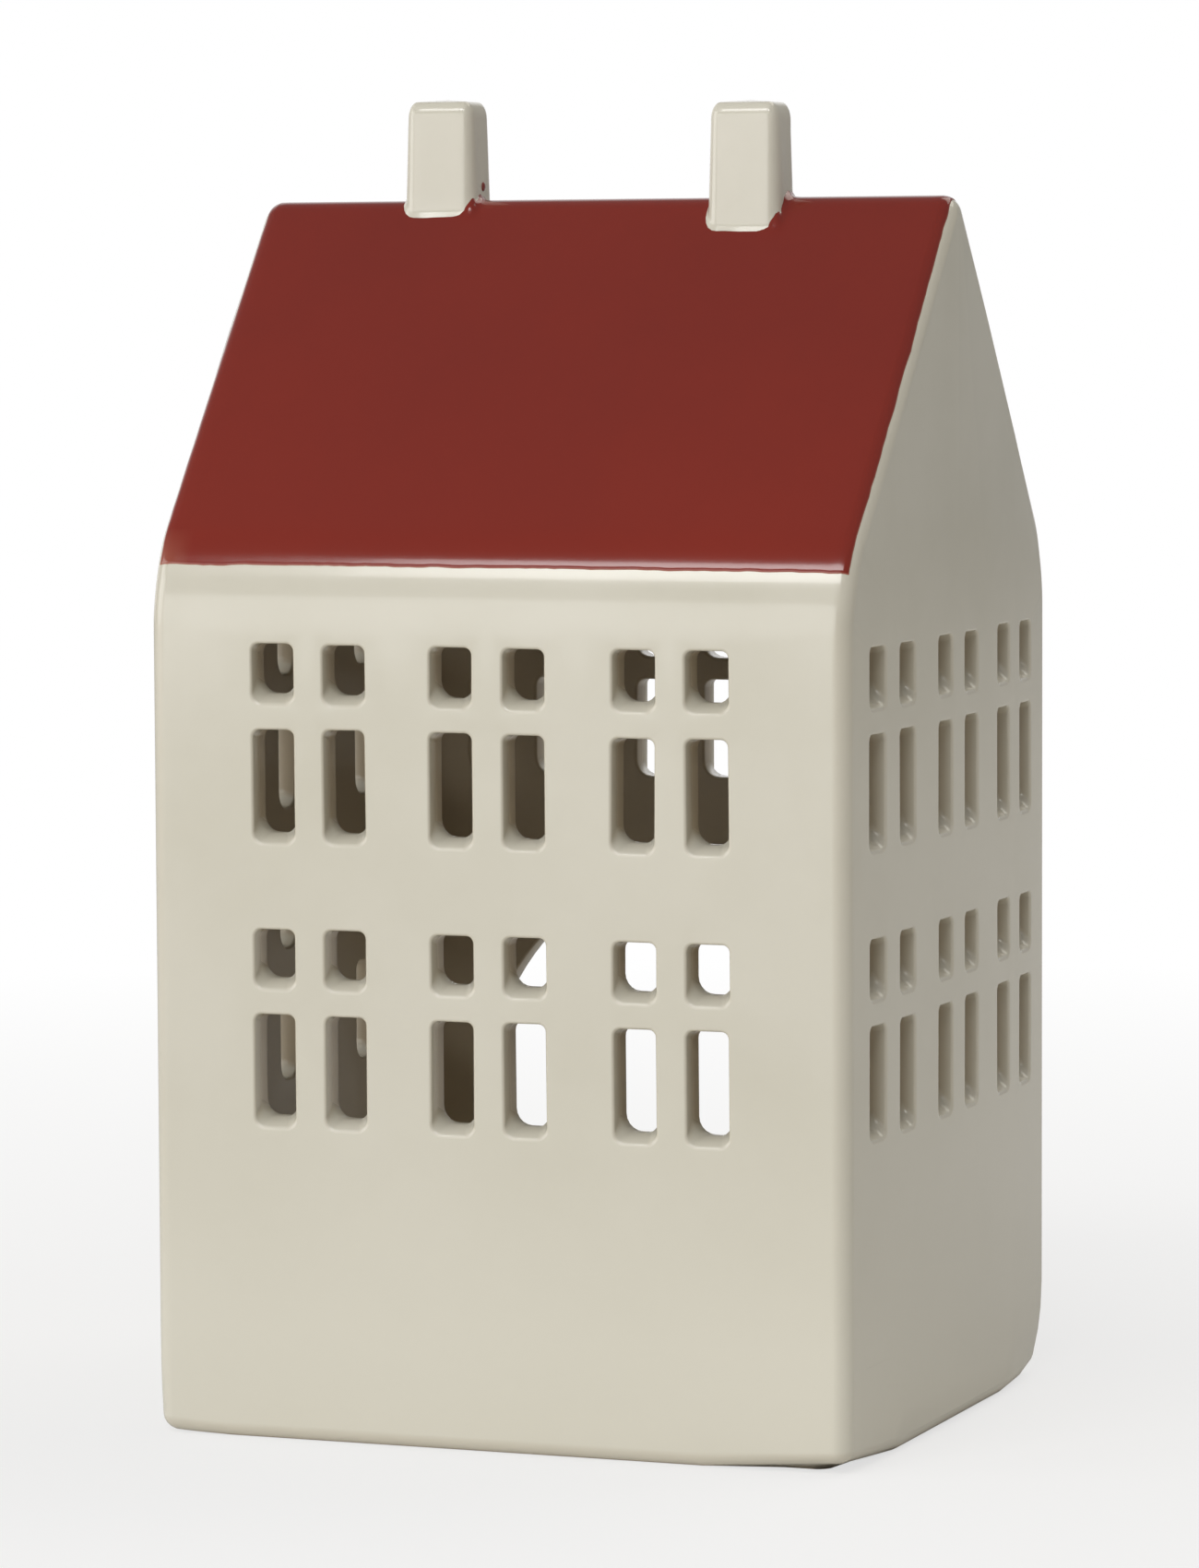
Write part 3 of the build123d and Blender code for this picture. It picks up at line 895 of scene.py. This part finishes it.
# Tealight cup: drawn from thin aluminium sheet, its floor pressed with a ring and its rim rolled
# outwards into a bead. It stands loose on the floor slab, so the tealight can be changed.
cup_low, cup_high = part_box("tealight_cup")
cup_middle = (cup_low + cup_high) / 2
cup_rim = (cup_high.x - cup_low.x) / 2
cup_foil = 0.3 * mm
cup_bead, cup_bead_steps = 0.45 * mm, 14
cup_neck = 1.5 * mm  # straight wall below the bead
cup_draft = 0.6 * mm
cup_toe, cup_toe_steps = 1.2 * mm, 6  # rounding of its base
cup_ring_share, cup_ring_width, cup_press = 0.62, 1.2 * mm, 0.35 * mm
spin_steps = 72


def spun(outline):
    """A body of revolution about the tealight's axis, from an outline of radius and height."""
    bm = bmesh.new()
    verts = [bm.verts.new((cup_middle.x + r, cup_middle.y, z)) for r, z in outline]
    for pair in zip(verts, verts[1:]):
        bm.edges.new(pair)
    bmesh.ops.spin(
        bm, geom=list(bm.verts) + list(bm.edges), cent=cup_middle, axis=(0, 0, 1), angle=2 * math.pi,
        steps=spin_steps, use_merge=True,
    )
    bmesh.ops.remove_doubles(bm, verts=bm.verts, dist=hair / 10)
    bmesh.ops.recalc_face_normals(bm, faces=bm.faces)
    return bm


def arc(centre, radius, start, end, steps):
    """Points of an arc, with its angles in degrees."""
    angles = [math.radians(start + (end - start) * n / steps) for n in range(steps + 1)]
    return [(centre[0] + radius * math.cos(a), centre[1] + radius * math.sin(a)) for a in angles]


def foil_cup():
    """The cup's section: pressed floor with a ring in it, drafted wall, rolled bead."""
    wall = cup_rim - 2 * cup_bead + cup_foil  # outside of the wall, under the bead
    base = wall - cup_draft
    floor, lip = cup_low.z, cup_high.z - cup_bead
    ring = base * cup_ring_share
    step = ring - cup_ring_width
    toe = (base - cup_toe, floor + cup_toe)
    outside = [(0, floor + cup_press), (step, floor + cup_press), (ring, floor), (base - cup_toe, floor)]
    outside += arc(toe, cup_toe, -90, 0, cup_toe_steps)[1:]
    outside += [(base + cup_draft / 2, (floor + lip) / 2), (wall, lip - cup_neck)]
    bead = arc((cup_rim - cup_bead, lip), cup_bead, -100, 190, cup_bead_steps)
    inside = [(wall - cup_foil, lip - cup_neck), (base - cup_foil, floor + cup_toe)]
    inside += arc(toe, cup_toe - cup_foil, 0, -90, cup_toe_steps - 1)[1:]
    pressed = floor + cup_press + cup_foil
    inside += [(ring, floor + cup_foil), (step, pressed), (0, pressed)]
    return spun(outside + bead + inside)


def stretched(tree, place, scales):
    """Coordinates scaled by a number of their own each way."""
    return node(tree, "ShaderNodeMapping", {"Vector": place, "Scale": scales}).outputs["Vector"]


def foil_metal():
    """Soft aluminium with fine drawing lines round the cup and small dents."""
    material, tree, shader, place = new_material("cup_foil", 0.3, Metallic=1.0)
    lines = grain(tree, stretched(tree, place, (60, 60, 6000)), 1.0)
    dents = grain(tree, place, 260.0)
    colour = blend_colour(tree, lines, (0.76, 0.765, 0.77, 1), (0.88, 0.885, 0.89, 1))
    tree.links.new(colour, shader.inputs["Base Color"])
    tree.links.new(ramp(tree, lines, 0.3, 0.7, 0.22, 0.42), shader.inputs["Roughness"])
    bump(tree, shader, maths(tree, "ADD", dents, maths(tree, "MULTIPLY", lines, 0.2)), 0.08 * mm)
    return material


cup = piece("foil_cup", foil_cup(), foil_metal(), "tealight")
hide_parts("tealight_cup")

# Tealight wax: paraffin poured into the cup round the wick. It shrank as it set, so its face is
# dished, and it clings a little way up the foil and the wick.
wax_low, wax_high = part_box("tealight_wax")
wax_rows = 19
wax_shrink, wax_dish, wax_creep = 0.1 * mm, 0.5 * mm, 0.25 * mm
foil_reach, wick_reach = 0.8 * mm, 1.4 * mm  # how far from each the wax is drawn up


def poured_wax():
    """The wax: flat-bottomed, its face dished, drawn up a little at the foil and at the wick."""
    wall = cup_rim - 2 * cup_bead
    base = wall - cup_draft
    rim = wall - wax_shrink
    low, top = wax_low.z, wax_high.z
    outline = [(0, low), (base - cup_toe, low), (base, low + cup_toe), (rim, top)]
    for row in range(1, wax_rows):
        radius = rim * (1 - row / wax_rows)
        dish = wax_dish * (1 - (radius / wall) ** 2)
        at_foil = wax_creep * math.exp(-(wall - radius) / foil_reach)
        at_wick = wax_creep * math.exp(-radius / wick_reach)
        outline.append((radius, top - wax_creep - dish + at_foil + at_wick))
    outline.append((0, outline[-1][1]))
    return spun(outline)


def wax_stuff():
    """White wax, a little translucent, mottled where it set last."""
    material, tree, shader, place = new_material("wax", 0.42, Subsurface_Weight=0.25, Subsurface_Scale=0.003)
    mottle = grain(tree, place, 300.0, 5.0)
    colour = blend_colour(tree, ramp(tree, mottle, 0.35, 0.7), (0.86, 0.85, 0.80, 1), (0.78, 0.765, 0.70, 1))
    tree.links.new(colour, shader.inputs["Base Color"])
    tree.links.new(ramp(tree, mottle, 0.3, 0.7, 0.34, 0.5), shader.inputs["Roughness"])
    bump(tree, shader, mottle, 0.05 * mm)
    return material


wax = piece("poured_wax", poured_wax(), wax_stuff(), "tealight")
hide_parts("tealight_wax")

# Wick sustainer: a disc stamped from tinplate, which lies on the cup's floor under the wax, with a
# neck that is crimped round the wick and holds it upright.
def tinplate():
    """Bright tinplate with rolling marks and a spangle of grains."""
    material, tree, shader, place = new_material("tinplate", 0.28, Metallic=1.0)
    marks = grain(tree, stretched(tree, place, (4000, 90, 90)), 1.0, 3.0)
    grains = node(tree, "ShaderNodeTexVoronoi", {"Vector": place, "Scale": 900.0}).outputs["Distance"]
    colour = blend_colour(tree, grains, (0.62, 0.62, 0.61, 1), (0.78, 0.78, 0.76, 1))
    tree.links.new(colour, shader.inputs["Base Color"])
    tree.links.new(ramp(tree, marks, 0.3, 0.7, 0.2, 0.45), shader.inputs["Roughness"])
    bump(tree, shader, marks, 0.02 * mm)
    return material


recoat("wick_sustainer", tinplate())

# Wick: a braided cotton cord, dipped in wax to stiffen it, cut to length and crimped into its foot.
# Its top leans over, so that the flame trims it.
wick_low, wick_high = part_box("wick")
wick_radius = 0.75 * mm
wick_bend, wick_curl = 3.6 * mm, 1.7  # how much of its top leans over, and how sharply
wick_taken_in = 0.94  # how much of that radius the cord itself fills
wick_ripple, wick_cut = 0.06, 0.72  # the braid's swell, and the width of its cut end
wick_trim = 0.04 * mm
wick_rows, wick_sides = 26, 12


def braided_wick():
    """A braided cord, waxed stiff: upright in its foot, leaning over at the tip, its end cut round."""
    bm = bmesh.new()
    tall = wick_high.z - wick_low.z
    rings = []
    for row in range(wick_rows + 1):
        high = tall * row / wick_rows
        over = max(0.0, high - tall + wick_bend) / wick_bend
        lean = (wick_high.x - cup_middle.x - wick_radius) * over**wick_curl
        swell = 1 + wick_ripple * math.cos(row * math.pi) if row < wick_rows else wick_cut
        radius = wick_radius * wick_taken_in * swell
        middle = Vector((cup_middle.x + lean, cup_middle.y, wick_low.z + (high - wick_trim if row else 0.0)))
        angles = [2 * math.pi * n / wick_sides for n in range(wick_sides)]
        rings.append([
            bm.verts.new(middle + radius * Vector((math.cos(angle), math.sin(angle), 0))) for angle in angles
        ])
    for under, above in zip(rings, rings[1:]):
        for n in range(wick_sides):
            bm.faces.new((under[n - 1], under[n], above[n], above[n - 1]))
    bm.faces.new(reversed(rings[0]))
    bm.faces.new(rings[-1])
    bmesh.ops.recalc_face_normals(bm, faces=bm.faces)
    return bm


def wick_cotton():
    """Waxed cotton with its strands crossing in a braid."""
    material, tree, shader, place = new_material("wick_cotton", 0.6, Sheen_Weight=0.2)
    left, right = (
        node(
            tree, "ShaderNodeTexWave", {"Vector": side, "Scale": 520.0, "Distortion": 1.5},
            bands_direction="DIAGONAL",
        ).outputs["Fac"]
        for side in (place, stretched(tree, place, (-1, 1, 1)))
    )
    braid = maths(tree, "MAXIMUM", left, right)
    colour = blend_colour(tree, braid, (0.60, 0.56, 0.46, 1), (0.84, 0.81, 0.72, 1))
    tree.links.new(colour, shader.inputs["Base Color"])
    bump(tree, shader, braid, 0.15 * mm)
    return material


wick = piece("braided_wick", braided_wick(), wick_cotton(), "tealight")
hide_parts("wick")

# Studio: a pale floor, a wide softbox above the front on the left, dimmer fills, and the camera
# at the height of the upper storey, turned a little round to the right gable.
floor_half = 3.0
floor_bm = bmesh.new()
bmesh.ops.create_grid(floor_bm, x_segments=1, y_segments=1, size=floor_half)
floor_mesh = bpy.data.meshes.new("studio_floor")
floor_bm.to_mesh(floor_mesh)
floor_bm.free()
floor = placed("studio_floor", floor_mesh)

floor_paint = bpy.data.materials.new("floor_paint")
floor_paint.use_nodes = True
floor_tree = floor_paint.node_tree
floor_shader = floor_tree.nodes["Principled BSDF"]
floor_shader.inputs["Base Color"].default_value = (0.80, 0.79, 0.77, 1)
floor_shader.inputs["Roughness"].default_value = 0.9
floor_shader.inputs["Specular IOR Level"].default_value = 0.0
rays = node(floor_tree, "ShaderNodeLightPath")
seen = node(floor_tree, "ShaderNodeEmission", {"Strength": 1.0})
floor_place = node(floor_tree, "ShaderNodeTexCoord").outputs["Object"]
floor_away = node(floor_tree, "ShaderNodeVectorMath", {0: floor_place}, operation="LENGTH").outputs["Value"]
floor_show = ramp(floor_tree, floor_away, 0.05, 0.55, 0.68, 1.0)
floor_factor = maths(floor_tree, "MULTIPLY", rays.outputs["Is Camera Ray"], floor_show)
floor_mix = node(floor_tree, "ShaderNodeMixShader", {
    0: floor_factor, 1: floor_shader.outputs[0], 2: seen.outputs[0],
})
floor_tree.links.new(floor_mix.outputs[0], floor_tree.nodes["Material Output"].inputs["Surface"])
floor_mesh.materials.append(floor_paint)

world = bpy.data.worlds.new("studio_world")
bpy.context.scene.world = world
world.use_nodes = True
world_tree = world.node_tree
sky = world_tree.nodes["Background"]
sky.inputs["Color"].default_value = (1.0, 1.0, 1.0, 1)
world_level = 0.27
world_rays = node(world_tree, "ShaderNodeLightPath")
world_place = node(world_tree, "ShaderNodeTexCoord").outputs["Generated"]
aim = node(world_tree, "ShaderNodeSeparateXYZ", {"Vector": world_place}).outputs
behind = maths(world_tree, "MULTIPLY", ramp(world_tree, aim["Y"], 0.2, 0.5),
               ramp(world_tree, aim["X"], -0.05, 0.15, 1.0, 0.04))
backdrop = maths(world_tree, "MULTIPLY", behind, ramp(world_tree, aim["Z"], 0.5, 0.75, 1.0, 0.0))
backdrop_mirrored = maths(world_tree, "MULTIPLY", world_rays.outputs["Is Glossy Ray"], backdrop)
white_seen = maths(world_tree, "MAXIMUM", world_rays.outputs["Is Camera Ray"], backdrop_mirrored)
world_strength = ramp(world_tree, white_seen, 0.0, 1.0, world_level, 1.0)
world_tree.links.new(world_strength, sky.inputs["Strength"])

house_middle = Vector((0, 0, 85 * mm))


def softbox(name, turn, lift, distance, width, height, watts, colour=(1, 1, 1)):
    """A rectangular lamp that faces the house, turned from the front and lifted, in degrees."""
    turn, lift = math.radians(turn), math.radians(lift)
    away = Vector((math.sin(turn) * math.cos(lift), -math.cos(turn) * math.cos(lift), math.sin(lift)))
    light = bpy.data.lights.new(name, "AREA")
    light.shape = "RECTANGLE"
    light.size, light.size_y = width, height
    light.energy = watts
    light.color = colour
    aimed = away.to_track_quat("Z", "Y").to_matrix().to_4x4()
    placed(name, light).matrix_world = Matrix.Translation(house_middle + away * distance) @ aimed


softbox("key_softbox", -4, 41.5, 2.6, 1.9, 0.47, 18.8)
softbox("front_fill", -12, 5, 2.4, 2.0, 1.6, 17.5)
softbox("left_fill", -60, 12, 2.2, 1.4, 1.4, 14)
softbox("rear_fill", 150, 55, 2.0, 1.6, 1.0, 10, (1.0, 0.95, 0.86))

camera_data = bpy.data.cameras.new("camera")
camera_data.sensor_fit = "VERTICAL"
camera_data.sensor_height = 36.0
camera_data.lens = 148.5
camera = placed("camera", camera_data)
camera_place = Vector((0.3070, -0.8073, 0.1529))
camera_turn, camera_tilt, camera_roll = math.radians(20.91), math.radians(4.59), math.radians(-0.26)
camera.matrix_world = (
    Matrix.Translation(camera_place) @ Matrix.Rotation(camera_turn, 4, "Z")
    @ Matrix.Rotation(math.pi / 2 - camera_tilt, 4, "X") @ Matrix.Rotation(camera_roll, 4, "Z")
)
bpy.context.scene.camera = camera
bpy.context.scene.view_settings.view_transform = "Standard"
